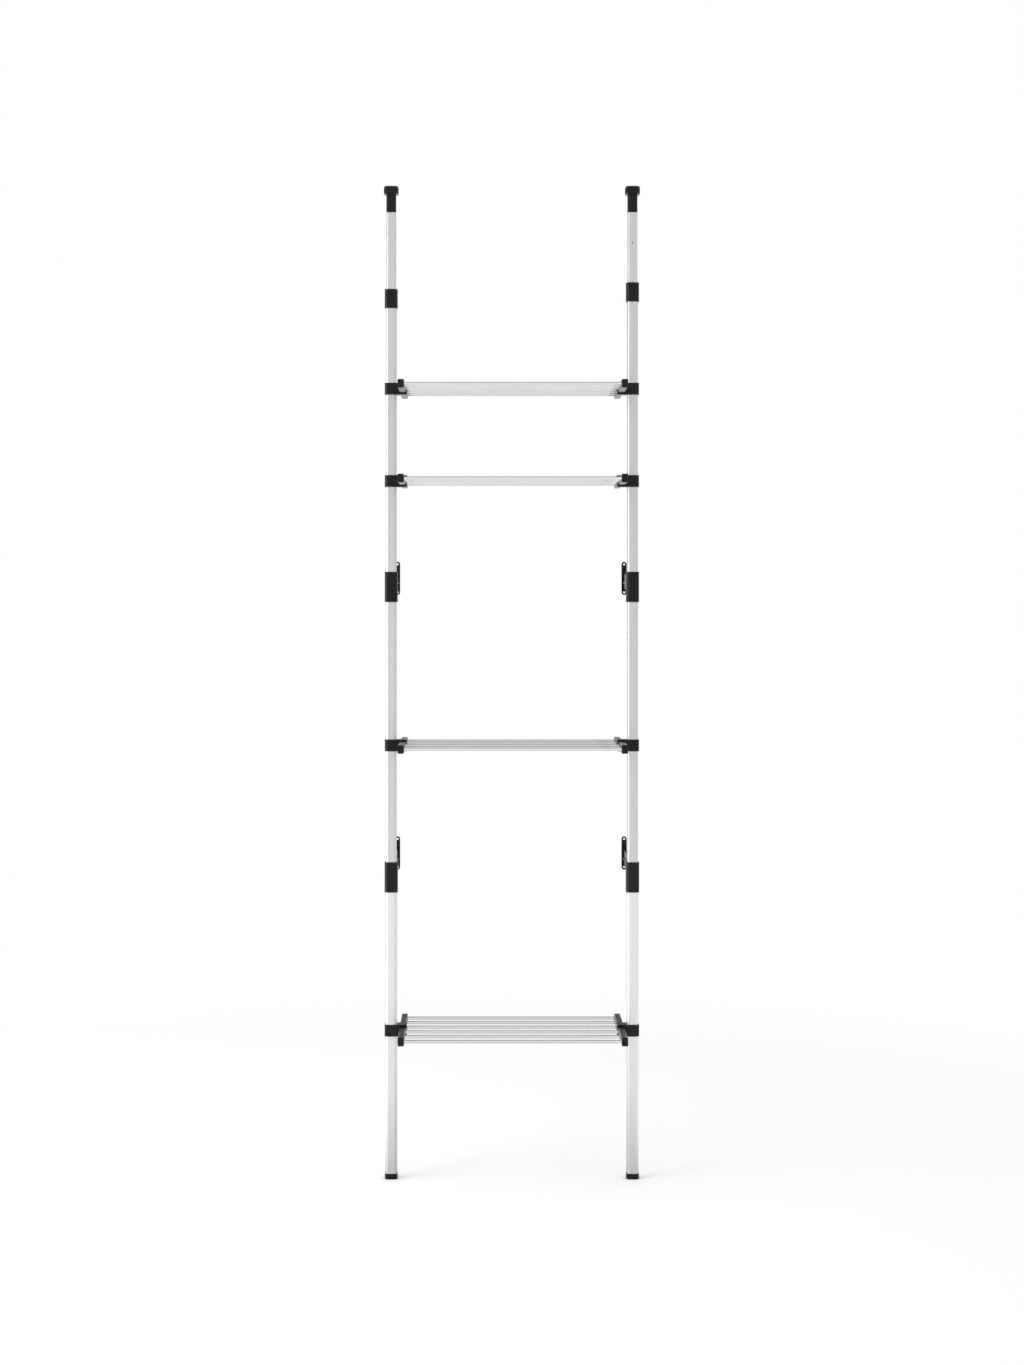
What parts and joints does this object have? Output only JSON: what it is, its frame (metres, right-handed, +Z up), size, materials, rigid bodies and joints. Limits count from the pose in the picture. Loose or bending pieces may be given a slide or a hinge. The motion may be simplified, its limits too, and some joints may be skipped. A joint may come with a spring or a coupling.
{
  "type": "tension pole shelf unit",
  "caption": "Floor-to-ceiling tension pole shelf unit: telescopic aluminium poles with sprung ceiling plungers and wall arms carry height-adjustable tube shelves held by clamps.",
  "frame": {"origin": "on the floor, under the centre of the unit's outline", "axes": "+X to the right seen from the front, +Y back towards the wall, +Z up"},
  "size_m": [0.619, 0.32, 2.4],
  "materials": {
    "anodised_aluminium": "satin anodised, faint draw lines along the tube",
    "shelf_tube_metal": "bright drawn tube",
    "black_plastic": "moulded, half gloss",
    "glide_nylon": "moulded, matt",
    "pad_rubber": "matt",
    "screw_steel": "zinc plated",
    "spring_steel": "oiled wire"
  },
  "bodies": {
    "bottom_frame": {"bottom_tube_left": "anodised_aluminium", "bottom_tube_right": "anodised_aluminium", "foot_cap_left": "black_plastic", "foot_cap_right": "black_plastic", "lower_collar_screws": "screw_steel", "lower_wall_collar_left": "black_plastic", "lower_wall_collar_right": "black_plastic"},
    "middle_frame": {"lock_collar_left": "black_plastic", "lock_collar_right": "black_plastic", "lock_collar_screws": "screw_steel", "middle_tube_left": "anodised_aluminium", "middle_tube_plug_left": "glide_nylon", "middle_tube_plug_right": "glide_nylon", "middle_tube_right": "anodised_aluminium"},
    "upper_collar_left": {"upper_wall_collar_left": "black_plastic", "upper_collar_screw_left": "screw_steel"},
    "upper_arm_left": {"upper_wall_arm_left": "black_plastic"},
    "lower_arm_left": {"lower_wall_arm_left": "black_plastic"},
    "top_pole_left": {"top_tube_left": "anodised_aluminium", "top_tube_plug_left": "glide_nylon", "cross_pin_left": "screw_steel"},
    "plunger_left": {"ceiling_plunger_left": "black_plastic", "ceiling_pad_left": "pad_rubber", "tension_spring_left": "spring_steel"},
    "upper_collar_right": {"upper_wall_collar_right": "black_plastic", "upper_collar_screw_right": "screw_steel"},
    "upper_arm_right": {"upper_wall_arm_right": "black_plastic"},
    "lower_arm_right": {"lower_wall_arm_right": "black_plastic"},
    "top_pole_right": {"top_tube_right": "anodised_aluminium", "top_tube_plug_right": "glide_nylon", "cross_pin_right": "screw_steel"},
    "plunger_right": {"ceiling_plunger_right": "black_plastic", "ceiling_pad_right": "pad_rubber", "tension_spring_right": "spring_steel"},
    "shelf_1": {"shelf_1_clamp_left": "black_plastic", "shelf_1_clamp_right": "black_plastic", "shelf_1_end_bar_left": "black_plastic", "shelf_1_end_bar_right": "black_plastic", "shelf_1_screws": "screw_steel", "shelf_1_tubes": "shelf_tube_metal"},
    "shelf_2": {"shelf_2_clamp_left": "black_plastic", "shelf_2_clamp_right": "black_plastic", "shelf_2_end_bar_left": "black_plastic", "shelf_2_end_bar_right": "black_plastic", "shelf_2_screws": "screw_steel", "shelf_2_tubes": "shelf_tube_metal"},
    "shelf_3": {"shelf_3_clamp_left": "black_plastic", "shelf_3_clamp_right": "black_plastic", "shelf_3_end_bar_left": "black_plastic", "shelf_3_end_bar_right": "black_plastic", "shelf_3_screws": "screw_steel", "shelf_3_tubes": "shelf_tube_metal"},
    "shelf_4": {"shelf_4_clamp_left": "black_plastic", "shelf_4_clamp_right": "black_plastic", "shelf_4_end_bar_left": "black_plastic", "shelf_4_end_bar_right": "black_plastic", "shelf_4_screws": "screw_steel", "shelf_4_tubes": "shelf_tube_metal"}
  },
  "joints": [
    {"name": "middle_frame_height", "type": "slide", "parent": "bottom_frame", "child": "middle_frame", "axis": [0, 0, 1], "range_m": [-0.12, 0.1]},
    {"name": "top_pole_left_height", "type": "slide", "parent": "middle_frame", "child": "top_pole_left", "axis": [0, 0, 1], "range_m": [-0.18, 0.1]},
    {"name": "plunger_left_travel", "type": "slide", "parent": "top_pole_left", "child": "plunger_left", "axis": [0, 0, 1], "range_m": [0, 0.045], "stiffness_N_per_m": 2500, "springref_m": 0.06, "deforming": ["tension_spring_left"]},
    {"name": "top_pole_right_height", "type": "slide", "parent": "middle_frame", "child": "top_pole_right", "axis": [0, 0, 1], "range_m": [-0.165, 0.115]},
    {"name": "plunger_right_travel", "type": "slide", "parent": "top_pole_right", "child": "plunger_right", "axis": [0, 0, 1], "range_m": [0, 0.045], "stiffness_N_per_m": 2500, "springref_m": 0.06, "deforming": ["tension_spring_right"]},
    {"name": "shelf_1_height", "type": "slide", "parent": "middle_frame", "child": "shelf_1", "axis": [0, 0, 1], "range_m": [-0.1, 0.17]},
    {"name": "shelf_2_height", "type": "slide", "parent": "middle_frame", "child": "shelf_2", "axis": [0, 0, 1], "range_m": [-0.12, 0.09]},
    {"name": "shelf_3_height", "type": "slide", "parent": "middle_frame", "child": "shelf_3", "axis": [0, 0, 1], "range_m": [-0.13, 0.25]},
    {"name": "shelf_4_height", "type": "slide", "parent": "bottom_frame", "child": "shelf_4", "axis": [0, 0, 1], "range_m": [-0.3, 0.31]},
    {"name": "upper_collar_left_height", "type": "slide", "parent": "middle_frame", "child": "upper_collar_left", "axis": [0, 0, 1], "range_m": [-0.08, 0.08]},
    {"name": "upper_arm_left_slide", "type": "slide", "parent": "upper_collar_left", "child": "upper_arm_left", "axis": [0, 0, 1], "range_m": [-0.024, 0.016]},
    {"name": "lower_arm_left_slide", "type": "slide", "parent": "bottom_frame", "child": "lower_arm_left", "axis": [0, 0, 1], "range_m": [-0.04, 0]},
    {"name": "upper_collar_right_height", "type": "slide", "parent": "middle_frame", "child": "upper_collar_right", "axis": [0, 0, 1], "range_m": [-0.08, 0.08]},
    {"name": "upper_arm_right_slide", "type": "slide", "parent": "upper_collar_right", "child": "upper_arm_right", "axis": [0, 0, 1], "range_m": [-0.024, 0.016]},
    {"name": "lower_arm_right_slide", "type": "slide", "parent": "bottom_frame", "child": "lower_arm_right", "axis": [0, 0, 1], "range_m": [-0.04, 0]}
  ]
}
